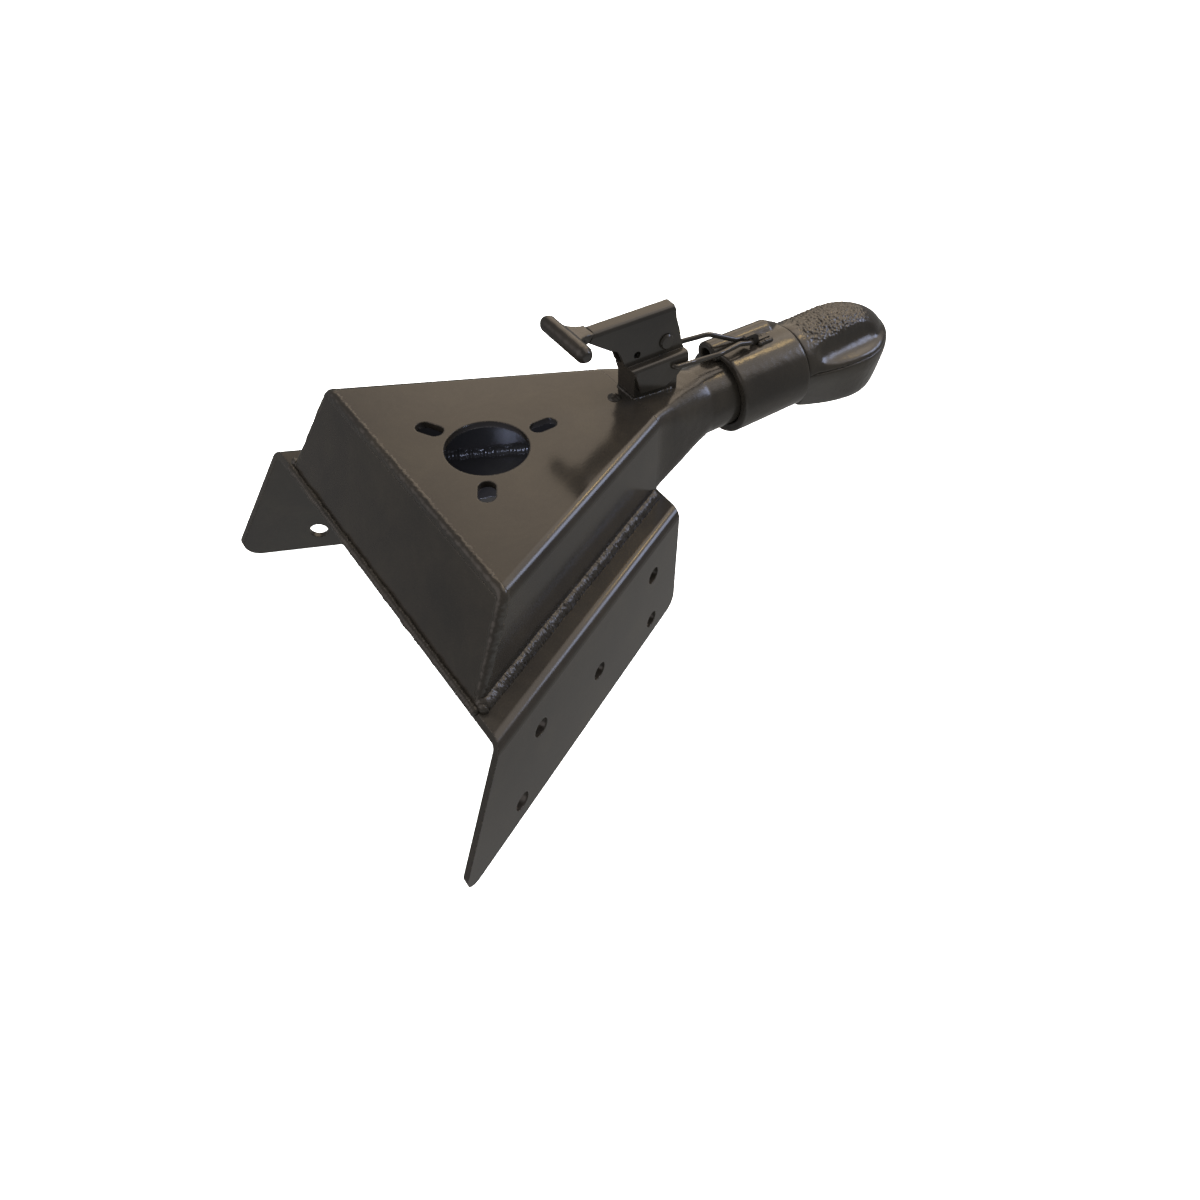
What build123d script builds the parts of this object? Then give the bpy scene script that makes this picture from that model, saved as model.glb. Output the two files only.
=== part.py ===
from build123d import *
from math import atan2, cos, degrees, radians, sin, tan
import os

# Driving dimensions, in millimetres and degrees.
# The origin is on the jack bore's axis at the top plate's top face.
# +X points forward to the ball, +Y to the left and +Z up.

# Folded plate housing
plate = 6.35
half_angle = 25.0
rear_rake = 26.0
jack_setback = 72.5
rear_half_width = 150.0
housing_height = 87.0
top_bend = 10.0
shoulder_start = 142.5

# Base plate with its two bent flanges
ledge = 30.0
flange_depth = 130.0
flange_bend = 10.5
base_front = 146.5
flange_corner = 13.0
bolt_radius = 8.75
bolt_row_upper = 43.5
bolt_row_lower = 107.0
front_bolt_run = 239.0
middle_bolt_run = 140.0
rear_bolt_setback = 72.5

# Jack opening
jack_radius = 35.0
slot_circle_radius = 54.35
slot_length = 25.0
slot_width = 14.5

# Rear closing plate, its ground corner welds and the weld beads
rear_edge = 5.0
rear_bead = 3.6
wall_bead = 7.5
foot_bead = 3.9

# Neck
neck_radius = 34.0
neck_wall = 7.0
neck_drop = 43.5
shoulder_length = 81.0
shoulder_ease = 0.3
shoulder_step = 0.3
shoulder_steps = 3
key_width = 12.0
key_length = 18.0
key_top = 45.0
key_tilt = 24.0

# Sliding collar
collar_gap = 2.6
collar_travel = 22.6
collar_length = 87.7
collar_radius = 43.5
collar_clearance = 0.5
collar_edge = 2.0
hump_radius = 13.5
hump_centre = 38.8
hump_overhang = 6.0
hump_taper = 17.0
hump_tip_radius = 6.0
keyway_clearance = 0.5
keyway_front_wall = 15.0
bail_groove_depth = 1.5
bail_groove_length = 48.0
bail_groove_width = 16.0

# Jaws
jaw_gap = 1.3
jaw_split_rise = 6.5
jaw_split_gap = 0.6
shank_slot = 40.6
tail_side_clearance = 0.3
tail_top_drop = 2.5
jaw_open_angle = 20.0
jaw_pin_radius = 6.0
jaw_pin_drop = 14.0
jaw_pin_half_length = 26.0
jaw_pin_setback = 49.5
tail_boss_radius = 9.5
tail_relief_margin = 0.15
pin_clearance = 0.08
head_root_radius = 41.0
head_radius = 43.3
head_centre_run = 60.4
head_length = 142.0
ball_run = 92.0
socket_radius = 29.75
rim_half_width = 49.0
rim_widest_run = 72.4
rim_thickness = 7.0
rim_draft = 2.5
rim_root_half_width = 37.0
scoop_radius = 21.0
scoop_rise = 33.5
lower_jaw_rear_depth = 48.0
lower_jaw_depth = 66.0
lower_jaw_corner = 14.0
lower_jaw_draft = 1.0
ball_neck_slot = 40.0

# Lever, its pivot and the T-bar
sheet = 3.0
lever_half_width = 8.0
skirt_half_width = 16.0
lever_pivot_x = 178.7
lever_pivot_z = 45.3
lever_reach = 81.0
lever_rise = 33.0
ledge_drop = 12.5
lever_fold = 4.5
ledge_bend = 3.5
rivet_radius = 6.0
rivet_head_radius = 7.5
rivet_head_height = 2.4
lock_hole_radius = 3.5
lock_hole_run = 31.6
lock_hole_drop = 3.3
t_bar_radius = 7.5
t_bar_length = 64.0
t_bar_end = 5.0
t_bar_run = 98.6
t_bar_rise = 31.7
stem_half_height = 5.5
stem_root_half_width = 20.0

# Latch bracket
bracket_half_width = 12.5
bracket_sheet = 4.0
bracket_rear_run = 37.4
bracket_front_run = 10.8
stop_length = 7.4
stop_gap = 0.3
foot_top_drop = 31.0
web_half_width = 4.7
web_rise = 12.0

# Wire bail and its hook
wire_radius = 2.5
bail_pivot_run = 2.8
bail_pivot_drop = 22.3
bail_reach = 107.0
bail_sag = 18.0
bight_radius = 4.5
bight_offset = -2.0
bail_straight = 21.0
bail_knee_run = 44.5
bail_knee_half_width = 9.5
bail_knee_rise = 16.0
bight_run = 17.0
bight_rise = 4.5
bail_skirt_gap = 0.3
bail_end_length = 3.5
hook_width = 3.6
hook_foot = 22.0
hook_slack = 0.6
hook_tip_gap = 2.4
hook_sheet = 4.0
hook_weld_radius = 3.5

# Places that follow from the dimensions above
half_tan = tan(radians(half_angle))
half_cos = cos(radians(half_angle))
half_sin = sin(radians(half_angle))
rake_tan = tan(radians(rear_rake))
rear_x = -jack_setback
base_z = -housing_height
neck_z = -neck_drop
shoulder_end = shoulder_start + shoulder_length
collar_rear = shoulder_end + collar_gap + collar_travel + hump_overhang
collar_front = collar_rear + collar_length
collar_bore = neck_radius + collar_clearance
neck_end = collar_rear + key_length + 6.0
jaw_pin_x = collar_front - jaw_pin_setback
jaw_pin_z = neck_z - jaw_pin_drop
head_rear = collar_front + jaw_gap
head_centre = head_rear + head_centre_run
nose_x = head_rear + head_length
ball_x = head_rear + ball_run
split_z = neck_z + jaw_split_rise
bight_x = lever_pivot_x + bail_pivot_run + bail_reach
bight_z = lever_pivot_z - bail_pivot_drop - bail_sag
bail_x = lever_pivot_x + bail_pivot_run
bail_z = lever_pivot_z - bail_pivot_drop
ledge_z = lever_pivot_z - ledge_drop
neck_fall = (neck_drop - neck_radius) / shoulder_length

rake_plane = Plane(origin=(rear_x, 0, 0), x_dir=(0, 1, 0), z_dir=(1, 0, -rake_tan))


def wall_y(x, inset=0.0):
    # Distance from the centre line to a plane parallel to the side wall, inset square to it
    return rear_half_width - (x - rear_x) * half_tan - inset / half_cos


def wedge(inset, front, low, high, bend):
    # Tapered block with its two long top edges rounded and its rear cut along the raked plane
    far = rear_x - (housing_height + flange_depth) * rake_tan - 10
    corners = [(far, wall_y(far, inset)), (front, wall_y(front, inset))]
    outline = corners + [(x, -y) for x, y in reversed(corners)]
    block = extrude(Plane.XY.offset(low) * make_face(Polyline(*outline, close=True)), high - low)
    long_edges = block.edges().group_by(Axis.Z)[-1].filter_by(lambda e: abs((e % 0.5).Y) < 0.9)
    return split(fillet(long_edges, bend), bisect_by=rake_plane, keep=Keep.TOP)


def side_plate(points, low_y, high_y):
    # Flat plate with its outline in X and Z, between two Y values
    face = make_face(Polyline(*points, close=True))
    return extrude(Plane.XZ.offset(-high_y) * face, high_y - low_y)


def rod(start, end, radius):
    axis = Vector(*end) - Vector(*start)
    return Solid.make_cylinder(radius, axis.length, Plane(origin=start, z_dir=axis))


def cross_rod(x, z, radius, half_length):
    return rod((x, -half_length, z), (x, half_length, z), radius)


def ring_section(x):
    return Plane(origin=(x, 0, neck_z), x_dir=(0, 1, 0), z_dir=(1, 0, 0))


def jack_cut(low, high):
    return Pos(0, 0, low) * Cylinder(jack_radius, high - low, align=(Align.CENTER, Align.CENTER, Align.MIN))


def make_housing_shell():
    outer = wedge(0, shoulder_start, base_z, 0, top_bend)
    inner = wedge(plate, shoulder_start + 1, base_z - 1, -plate, top_bend - plate)
    rim = outer.faces().filter_by(lambda f: f.is_planar and f.normal_at().X < -0.5)[0].edges()
    outer = fillet(rim.filter_by(lambda e: e.center().Z > base_z + 1), rear_edge)
    shell = outer - inner - jack_cut(-2 * plate, plate)
    for turn in (0, 120, 240):
        slot = Rot(0, 0, turn) * Pos(slot_circle_radius, 0, -2 * plate) * SlotOverall(slot_length, slot_width)
        shell -= extrude(slot, 3 * plate)
    return shell


def flange_point(run, depth, side):
    # Point on a flange's outer face, measured along the bend from its raked rear corner
    corner_x = rear_x - housing_height * rake_tan
    corner_y = wall_y(corner_x, -ledge)
    return (corner_x + run * half_cos, side * (corner_y - run * half_sin), base_z - depth)


def bolt_places():
    rear_runs = [rear_bolt_setback - depth * rake_tan / half_cos for depth in (bolt_row_upper, bolt_row_lower)]
    return [
        (front_bolt_run, bolt_row_upper),
        (front_bolt_run, bolt_row_lower),
        (middle_bolt_run, (bolt_row_upper + bolt_row_lower) / 2),
        (rear_runs[0], bolt_row_upper),
        (rear_runs[1], bolt_row_lower),
    ]


def make_base_plate():
    low = base_z - flange_depth
    outer = wedge(-ledge, base_front, low, base_z, flange_bend)
    inner = wedge(plate - ledge, base_front + 1, low - 1, base_z - plate, flange_bend - plate)
    base = outer - inner - jack_cut(base_z - 2 * plate, base_z + plate)
    foot_edges = base.edges().group_by(Axis.Z)[0].filter_by(lambda e: e.length < 2 * plate)
    base = fillet(foot_edges, flange_corner)
    for side in (1, -1):
        outward = Vector(half_sin, side * half_cos, 0) * 2 * plate
        for run, depth in bolt_places():
            centre = Vector(*flange_point(run, depth, side))
            base -= rod(centre - outward, centre + outward, bolt_radius)
    return base


def make_rear_plate():
    fill = wedge(plate, shoulder_start, base_z, -plate, top_bend - plate)
    return split(fill, bisect_by=rake_plane.offset(plate), keep=Keep.BOTTOM)


def make_rear_foot_weld(rear_plate, shell, base):
    x = rear_x - housing_height * rake_tan
    y = wall_y(x, plate)
    return rod((x, -y, base_z), (x, y, base_z), rear_bead) - rear_plate - shell - base


def biggest(shape):
    return max(shape.solids(), key=lambda s: s.volume)


def make_wall_welds(shell, base, rear_plate, foot_weld):
    beads = []
    rear = rear_x - housing_height * rake_tan + 1
    front = shoulder_start - 1
    for side in (1, -1):
        start = (rear, side * wall_y(rear), base_z)
        end = (front, side * wall_y(front), base_z)
        beads.append(biggest(rod(start, end, wall_bead) - shell - base - rear_plate - foot_weld))
    return Compound(children=beads)


def shoulder_sections(inset):
    # Rounded rectangles that turn into a circle along the shoulder
    sections = []
    end_radius = neck_radius - shoulder_step
    for i in range(shoulder_steps + 1):
        t = i / shoulder_steps
        blend = (1 - shoulder_ease) * t + shoulder_ease * t * t * (3 - 2 * t)
        half_width = wall_y(shoulder_start) + (end_radius - wall_y(shoulder_start)) * blend
        half_height = neck_drop + (end_radius - neck_drop) * blend
        corner = top_bend + (end_radius - 0.05 - top_bend) * blend
        shape = RectangleRounded(2 * (half_width - inset), 2 * (half_height - inset), corner - inset)
        sections.append(ring_section(shoulder_start + t * shoulder_length) * shape)
    return sections


def make_neck():
    outer = loft(shoulder_sections(0)) + rod((shoulder_end, 0, neck_z), (neck_end, 0, neck_z), neck_radius)
    bore = neck_radius - neck_wall
    inner = loft(shoulder_sections(neck_wall)) + rod((shoulder_end, 0, neck_z), (neck_end, 0, neck_z), bore)
    return outer - inner


def tilted(x, radius):
    # Point at a radius from the neck's axis, in the direction of the key
    tilt = radians(key_tilt)
    return (x, radius * sin(tilt), neck_z + radius * cos(tilt))


def arch(start, end, centre_radius, radius, foot_radius):
    # Round-topped block along X that stands on the key's tilted plane
    block = Rot(-key_tilt, 0, 0) * Pos((start + end) / 2, 0, (centre_radius + foot_radius) / 2)
    block = Pos(0, 0, neck_z) * block * Box(end - start, 2 * radius, centre_radius - foot_radius)
    return block + rod(tilted(start, centre_radius), tilted(end, centre_radius), radius)


def make_neck_key():
    start = collar_rear + 3
    half = key_width / 2
    block = arch(start, start + key_length, key_top - half, half, neck_radius - 3)
    return block - rod((start - 1, 0, neck_z), (start + key_length + 1, 0, neck_z), neck_radius)


def make_collar():
    body = rod((collar_rear, 0, neck_z), (collar_front, 0, neck_z), collar_radius)
    body = fillet(body.edges().filter_by(GeomType.CIRCLE), collar_edge)
    hump_end = collar_front - hump_taper
    hump = rod(tilted(collar_rear - hump_overhang, hump_centre), tilted(hump_end, hump_centre), hump_radius)
    tip_plane = Plane(origin=tilted(hump_end, hump_centre), z_dir=(1, 0, 0))
    tip = Solid.make_cone(hump_radius, hump_tip_radius, hump_taper, tip_plane)
    body = body + hump + tip
    body -= rod((collar_rear - 20, 0, neck_z), (collar_front + 1, 0, neck_z), collar_bore)
    way = key_width / 2 + keyway_clearance
    way_top = key_top + keyway_clearance - way
    body -= arch(collar_rear - 20, collar_front - keyway_front_wall, way_top, way, neck_radius - 6)
    groove_low = neck_z + collar_radius - bail_groove_depth
    groove = Box(bail_groove_length, bail_groove_width, 8, align=(Align.MIN, Align.CENTER, Align.MIN))
    body -= Pos(collar_rear - 1, bight_offset - 0.5, groove_low) * groove
    return body


def hook_profile():
    # Side outline of the strap: welded foot, riser, roof and the tip behind the bight
    pocket_front = bight_x + wire_radius + hook_slack
    pocket_rear = bight_x - wire_radius - hook_tip_gap
    roof_low = bight_z + wire_radius + hook_slack
    floor = neck_z + collar_radius - bail_groove_depth - 2
    foot_top = neck_z + collar_radius + hook_sheet - 1
    return [
        (pocket_front, floor),
        (pocket_front, roof_low),
        (pocket_rear, roof_low),
        (pocket_rear, bight_z - 1.5),
        (pocket_rear - hook_sheet, bight_z - 1),
        (pocket_rear - hook_sheet, roof_low + hook_sheet - 1.5),
        (pocket_rear - hook_sheet + 1.5, roof_low + hook_sheet),
        (pocket_front + 2, roof_low + hook_sheet),
        (pocket_front + hook_sheet + 2, roof_low + hook_sheet - 3),
        (pocket_front + hook_sheet + 4, foot_top),
        (pocket_front + hook_foot, foot_top),
        (pocket_front + hook_foot, floor),
    ]


def make_bail_hook(collar):
    half = hook_width / 2
    return biggest(side_plate(hook_profile(), bight_offset - half, bight_offset + half) - collar)


def make_hook_welds(collar, hook):
    beads = []
    low = neck_z + collar_radius - 0.5
    start = bight_x + wire_radius + hook_sheet + 2
    end = bight_x + wire_radius + hook_foot + 3
    for side in (1, -1):
        y = bight_offset + side * hook_width / 2
        bead = rod((start, y, low), (end, y, low), hook_weld_radius)
        bead &= Pos(0, y + side * collar_radius, 0) * Box(2 * collar_front, 2 * collar_radius, 4 * collar_radius)
        beads.append(biggest(bead - collar - hook))
    return Compound(children=beads)


def jaw_outline(drop, shrink=0.0, slope=0.0):
    # Plan outline shared by both jaws, drawn in by a distance, at a drop below their split
    half = rim_half_width - shrink
    root = rim_root_half_width - shrink
    rear = 0.5 * shrink
    nose_radius = nose_x - head_rear - rim_widest_run - shrink
    side = Spline((rear, root), (rim_widest_run, half), tangents=[(1, 0.35), (1, 0)])
    nose = EllipticalCenterArc((rim_widest_run, 0), nose_radius, half, -90, arc_size=180)
    outline = make_face([side, nose, mirror(side, about=Plane.XZ), Line((rear, -root), (rear, root))])
    x_dir = (cos(slope), 0, -sin(slope))
    return Plane(origin=(head_rear, 0, split_z - drop), x_dir=x_dir, z_dir=(sin(slope), 0, cos(slope))) * outline


def scoop(side):
    # Hollow along one side of the head, over the rim
    z = neck_z + scoop_rise
    start = (head_rear + 1.2 * scoop_radius, side * (rim_half_width - 1), z)
    end = (nose_x - 2 * scoop_radius, side * (rim_half_width - 5), z)
    return rod(start, end, scoop_radius) + Pos(*start) * Sphere(scoop_radius) + Pos(*end) * Sphere(scoop_radius)


def make_shank():
    # Round shank in the neck and the collar, slotted underneath for the lower jaw's tail
    shank = rod((neck_end, 0, neck_z), (head_rear, 0, neck_z), neck_radius)
    slot_x = jaw_pin_x - tail_boss_radius - 1
    below = (Align.MIN, Align.CENTER, Align.MAX)
    shank -= Pos(slot_x, 0, neck_z - tail_top_drop + 0.5) * Box(nose_x - slot_x, shank_slot, collar_radius, align=below)
    front = Box(nose_x - collar_front, 2 * collar_radius, 2 * collar_radius, align=below)
    shank -= Pos(collar_front - 1, 0, split_z + jaw_split_gap) * front
    return shank - cross_rod(jaw_pin_x, jaw_pin_z, jaw_pin_radius + pin_clearance / 2, 2 * neck_radius)


def make_upper_jaw():
    root = Solid.make_cone(head_root_radius, head_radius, head_centre_run, ring_section(head_rear))
    dome = Sketch() + Ellipse(nose_x - head_centre, head_radius)
    dome &= Pos(head_length / 2, head_length / 2) * Rectangle(head_length, head_length)
    head = root + Pos(head_centre, 0, neck_z) * revolve(Plane.XZ * dome, Axis.X)
    rim_low = split_z + jaw_split_gap
    above = Box(4 * head_length, 4 * head_radius, 4 * head_radius, align=(Align.CENTER, Align.CENTER, Align.MIN))
    head &= Pos(head_centre, 0, rim_low) * above
    head += loft([jaw_outline(-jaw_split_gap), jaw_outline(-jaw_split_gap - rim_thickness, rim_draft)])
    for side in (1, -1):
        head -= scoop(side)
    return make_shank() + head - Pos(ball_x, 0, neck_z) * Sphere(socket_radius)


def collar_path(start_back, end_back):
    # Room that the collar's ring takes up over a step of its travel, seen from the swung jaw
    turn = jaw_open_angle * end_back / collar_travel
    start = (neck_end - 2 * collar_travel, 0, neck_z)
    end = (collar_front - start_back, 0, neck_z)
    ring = rod(start, end, 2 * collar_radius) - rod(start, end, collar_bore - tail_relief_margin)
    pin = (jaw_pin_x, 0, jaw_pin_z)
    return Pos(*pin) * Rot(0, -turn, 0) * Pos(*[-v for v in pin]) * ring


def make_jaw_tail():
    # Tongue between the shank's cheeks, relieved so that the collar's front rim lets it swing down
    half = shank_slot / 2 - tail_side_clearance
    top = neck_z - tail_top_drop
    bottom = neck_z - neck_radius
    outline = [(jaw_pin_x, top), (head_rear + 5, top), (head_rear + 5, bottom), (jaw_pin_x, bottom)]
    tail = side_plate(outline, -half, half) + cross_rod(jaw_pin_x, jaw_pin_z, tail_boss_radius, half)
    tail &= rod((neck_end, 0, neck_z), (head_rear + 30, 0, neck_z), neck_radius)
    steps = [collar_travel * share for share in (0, 0.03, 0.08, 0.16, 0.28, 0.45, 0.7, 1.0)]
    for start_back, end_back in zip(steps, steps[1:]):
        tail -= collar_path(start_back, end_back)
    return tail


def make_lower_jaw():
    bowl = []
    steps = 5
    for i in range(steps):
        turn = radians(90 * i / (steps - 1))
        shrink = lower_jaw_draft * sin(turn) + lower_jaw_corner * (1 - cos(turn))
        slope = atan2((lower_jaw_depth - lower_jaw_rear_depth) * sin(turn), head_length)
        bowl.append(jaw_outline(lower_jaw_rear_depth * sin(turn), shrink, slope))
    jaw = loft(bowl) + make_jaw_tail()
    jaw -= cross_rod(jaw_pin_x, jaw_pin_z, jaw_pin_radius + pin_clearance, 2 * neck_radius)
    jaw -= Pos(ball_x, 0, neck_z) * Sphere(socket_radius)
    upward = (Align.CENTER, Align.CENTER, Align.MIN)
    jaw -= Pos(ball_x, 0, neck_z) * Cylinder(socket_radius, 2 * neck_radius, align=upward)
    neck_slot = Circle(ball_neck_slot / 2) + Pos(head_length / 2, 0) * Rectangle(head_length, ball_neck_slot)
    low = split_z - 2 * lower_jaw_depth
    return jaw - extrude(Plane.XY.offset(low) * Pos(ball_x, 0) * neck_slot, split_z + 1 - low)


def make_jaw_hinge_pin():
    return cross_rod(jaw_pin_x, jaw_pin_z, jaw_pin_radius, jaw_pin_half_length)


def lever_point(run, rise):
    # Place on the lever's side, in shares of its reach behind the pivot and its rise above it
    return (lever_pivot_x + run * lever_reach, lever_pivot_z + rise * lever_rise)


def lever_outline():
    arm = [(-1, 0.77), (-0.93, 1), (0.11, 1), (0.13, 0.62), (0.18, 0.25), (0.22, -0.19), (0.25, -0.38)]
    skirt = [(0.25, -0.68), (0.08, -1.09), (-0.06, -1.27), (-0.4, -1.18), (-0.47, -0.6), (-0.46, -0.52)]
    underside = [(-0.55, -0.33), (-0.6, 0.01), (-0.64, 0.21), (-0.75, 0.34)]
    return [lever_point(run, rise) for run, rise in arm + skirt + underside]


def lever_fold_section(inset):
    # Cross-section of the folded sheet: narrow arm on top, joggled out to the wider skirts
    narrow = lever_half_width - inset
    wide = skirt_half_width - inset
    top = lever_pivot_z + lever_rise - inset
    step = ledge_z - inset
    low = lever_pivot_z - 2 * lever_rise
    right = [(0, top), (narrow, top), (narrow, step), (wide, step), (wide, low)]
    outline = right + [(-y, z) for y, z in reversed(right[1:])]
    section = make_face(Polyline(*outline, close=True))
    corners = section.vertices()
    section = fillet(corners.filter_by(lambda v: v.Y > top - 1 and abs(v.X) > 1), lever_fold - inset)
    outer = section.vertices().filter_by(lambda v: abs(v.Y - step) < 0.1 and abs(v.X) > wide - 0.1)
    return fillet(outer, ledge_bend - inset)


def make_lever():
    rear = lever_pivot_x - 2 * lever_reach
    shapes = []
    for inset in (0, sheet):
        section = Plane(origin=(rear, 0, 0), x_dir=(0, 1, 0), z_dir=(1, 0, 0)) * lever_fold_section(inset)
        shapes.append(extrude(section, 4 * lever_reach))
    body = (shapes[0] - shapes[1]) & side_plate(lever_outline(), -2 * skirt_half_width, 2 * skirt_half_width)
    through = 2 * skirt_half_width
    body -= cross_rod(lever_pivot_x, lever_pivot_z, rivet_radius + pin_clearance, through)
    body -= cross_rod(lever_pivot_x - lock_hole_run, lever_pivot_z - lock_hole_drop, lock_hole_radius, through)
    return body - cross_rod(bail_x, bail_z, wire_radius + pin_clearance, through)


def make_t_bar(lever):
    # Round grip with a flared stem whose tongue is welded into the lever's fold
    x = lever_pivot_x - t_bar_run
    z = lever_pivot_z + t_bar_rise
    low, high = lever_outline()[:2]
    bar = cross_rod(x, z, t_bar_radius, t_bar_length / 2)
    bar = chamfer(bar.edges().filter_by(GeomType.CIRCLE), t_bar_end, 0.6 * t_bar_end)
    side = [(x, z - stem_half_height), (x, z + stem_half_height), high, low]
    waist_run = low[0] - x
    flare_middle = (0.5 * waist_run, 0.3 * stem_root_half_width + 0.7 * lever_half_width)
    curve = ThreePointArc((0, stem_root_half_width), flare_middle, (waist_run, lever_half_width))
    ends = [(waist_run, lever_half_width), (2 * waist_run, lever_half_width), (2 * waist_run, -lever_half_width)]
    outline = [curve, Polyline(*ends, (waist_run, -lever_half_width)), mirror(curve, about=Plane.XZ)]
    outline.append(Line((0, -stem_root_half_width), (0, stem_root_half_width)))
    flare = extrude(Plane(origin=(x, 0, z - lever_rise)) * make_face(outline), 2 * lever_rise)
    stem = side_plate(side, -stem_root_half_width, stem_root_half_width) & flare
    tongue_half = lever_half_width - sheet - 0.1
    tongue_top = high[1] - sheet - 0.1
    tongue = [(x, z), (x, z - 2), (low[0], low[1] + 1), (high[0] + sheet, low[1]), (high[0] + 4 * sheet, low[1])]
    tongue += [(high[0] + 4 * sheet, tongue_top), (high[0] - sheet, tongue_top)]
    return biggest(bar + stem + side_plate(tongue, -tongue_half, tongue_half) - lever)


def make_pivot_rivet():
    rivet = cross_rod(lever_pivot_x, lever_pivot_z, rivet_radius, lever_half_width + 1)
    for side in (1, -1):
        start = side * (lever_half_width + 0.3)
        end = start + side * rivet_head_height
        head = rod((lever_pivot_x, start, lever_pivot_z), (lever_pivot_x, end, lever_pivot_z), rivet_head_radius)
        rim = head.edges().filter_by(GeomType.CIRCLE).sort_by(lambda e: abs(e.center().Y))[-1]
        rivet += chamfer(rim, 0.6 * rivet_head_height)
    return rivet


def bracket_top():
    # Top line of the bracket's wide foot: the stop under the lever, then clear of the bail's turned ends
    stop = ledge_z - sheet - stop_gap
    rear = lever_pivot_x - bracket_rear_run
    foot_top = lever_pivot_z - foot_top_drop
    slope_end = rear + 1.75 * stop_length
    return [(rear, stop), (rear + stop_length, stop), (slope_end, foot_top), (lever_pivot_x + bracket_front_run, foot_top)]


def make_latch_bracket(neck, shell):
    top = bracket_top()
    half = bracket_half_width
    rear, stop = top[0]
    front, foot_top = top[-1]
    bracket = side_plate(top + [(x, z - bracket_sheet) for x, z in reversed(top)], -half, half)
    foot = top + [(x, -neck_fall * (x - shoulder_start) - 3) for x in (front, rear)]
    for low_y in (-half, half - bracket_sheet):
        bracket += side_plate(foot, low_y, low_y + bracket_sheet)
    back = [(rear, stop), (rear + bracket_sheet, stop), (rear + bracket_sheet, -3), (rear, -3)]
    bracket += side_plate(back, -half, half)
    web_front = lever_pivot_x + 0.6 * web_rise
    web_rear = lever_pivot_x - 0.6 * web_rise
    web = [
        (rear, stop - 1),
        (rear, lever_pivot_z),
        (rear + 0.3 * web_rise, lever_pivot_z + 0.4 * web_rise),
        (web_rear, lever_pivot_z + web_rise),
        (web_front, lever_pivot_z + web_rise),
        (front, lever_pivot_z + 0.5 * web_rise),
        (front, foot_top - 1),
        (top[2][0], foot_top - 1),
        (top[1][0], stop - 1),
    ]
    bracket += side_plate(web, -web_half_width, web_half_width)
    through = 2 * bracket_half_width
    bracket -= cross_rod(lever_pivot_x, lever_pivot_z, rivet_radius + pin_clearance / 2, through)
    bracket -= cross_rod(lever_pivot_x - lock_hole_run, lever_pivot_z - lock_hole_drop, lock_hole_radius, through)
    return biggest(bracket - neck - shell)


def make_bracket_welds(bracket, neck, shell):
    beads = []
    rear = bracket_top()[0][0]
    front = bracket_top()[-1][0]
    for side in (1, -1):
        y = side * bracket_half_width
        bead = rod((rear - 2, y, 0), (front + 1, y, -neck_fall * (front - shoulder_start)), foot_bead)
        beads.append(biggest(bead - bracket - neck - shell))
    return Compound(children=beads)


def bail_route():
    # Corner points of the wire, from the right leg's turned end round the bight to the left leg's
    right = bight_offset - bight_radius
    left = bight_offset + bight_radius
    leg = skirt_half_width + wire_radius + bail_skirt_gap
    inner = skirt_half_width - sheet - bail_end_length
    knee_x = bight_x - bail_knee_run
    return [
        (bail_x, -inner, bail_z),
        (bail_x, -leg, bail_z),
        (bail_x + bail_straight, -leg, bail_z - 0.8 * wire_radius),
        (knee_x, -bail_knee_half_width, bight_z + bight_rise),
        (bight_x - bight_run, right, bight_z + bight_rise),
        (bight_x, right, bight_z),
        (bight_x, left, bight_z),
        (bight_x - bight_run, left, bight_z + bight_rise),
        (knee_x, bail_knee_half_width, bight_z + bail_knee_rise),
        (bail_x + bail_straight, leg, bail_z - 2 * wire_radius),
        (bail_x, leg, bail_z),
        (bail_x, inner, bail_z),
    ]


def make_bail():
    bends = [3.0, 25.0, 30.0, 12.0, bight_radius - 0.1, bight_radius - 0.1, 12.0, 20.0, 20.0, 3.0]
    path = FilletPolyline(*bail_route(), radius=bends)
    start = Plane(origin=path @ 0, z_dir=path % 0)
    return sweep(start * Circle(wire_radius), path=path)


def build():
    shell = make_housing_shell()
    base = make_base_plate()
    neck = make_neck()
    rear_plate = make_rear_plate()
    foot_weld = make_rear_foot_weld(rear_plate, shell, base)
    bracket = make_latch_bracket(neck, shell)
    collar = make_collar()
    hook = make_bail_hook(collar)
    lever = make_lever()
    return {
        "housing_shell": shell,
        "base_plate": base,
        "neck": neck,
        "rear_plate": rear_plate,
        "rear_foot_weld": foot_weld,
        "wall_welds": make_wall_welds(shell, base, rear_plate, foot_weld),
        "neck_key": make_neck_key(),
        "upper_jaw": make_upper_jaw(),
        "jaw_hinge_pin": make_jaw_hinge_pin(),
        "latch_bracket": bracket,
        "bracket_welds": make_bracket_welds(bracket, neck, shell),
        "pivot_rivet": make_pivot_rivet(),
        "lever": lever,
        "t_bar": make_t_bar(lever),
        "bail": make_bail(),
        "collar": collar,
        "bail_hook": hook,
        "hook_welds": make_hook_welds(collar, hook),
        "lower_jaw": make_lower_jaw(),
    }


def main():
    os.makedirs("parts", exist_ok=True)
    for node, shape in build().items():
        export_step(shape, f"parts/{node}.step")


main()
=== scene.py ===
import math

import bmesh
import bpy
from mathutils import Matrix, Vector, noise


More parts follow.
